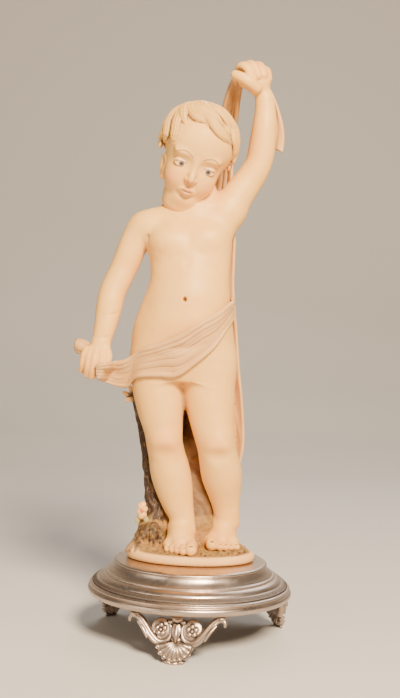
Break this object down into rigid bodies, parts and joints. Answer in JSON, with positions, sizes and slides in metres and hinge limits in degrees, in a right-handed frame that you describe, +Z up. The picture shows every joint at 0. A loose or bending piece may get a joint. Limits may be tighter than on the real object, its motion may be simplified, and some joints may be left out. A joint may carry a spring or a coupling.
{
  "type": "porcelain boy figurine",
  "caption": "Cast porcelain figure of a boy with a drape and a tree stump on an oval base, standing on a stepped round metal stand with cast shell feet.",
  "frame": {"origin": "on the ground under the middle of the object's outline", "axes": "+Z up, -Y towards the side the boy faces, +X towards his raised arm"},
  "size_m": [0.1505, 0.1348, 0.3818],
  "materials": {
    "porcelain": "ivory bisque porcelain, softly glazed, with painted and rubbed-in washes",
    "stand_metal": "aged silvered metal with darkened grooves",
    "foot_metal": "cast silvered metal, darkened in the hollows"
  },
  "bodies": {
    "root": {"boy_figurine": "porcelain", "stand": "stand_metal", "shell_foot_1": "foot_metal", "shell_foot_2": "foot_metal", "shell_foot_3": "foot_metal"}
  },
  "joints": []
}
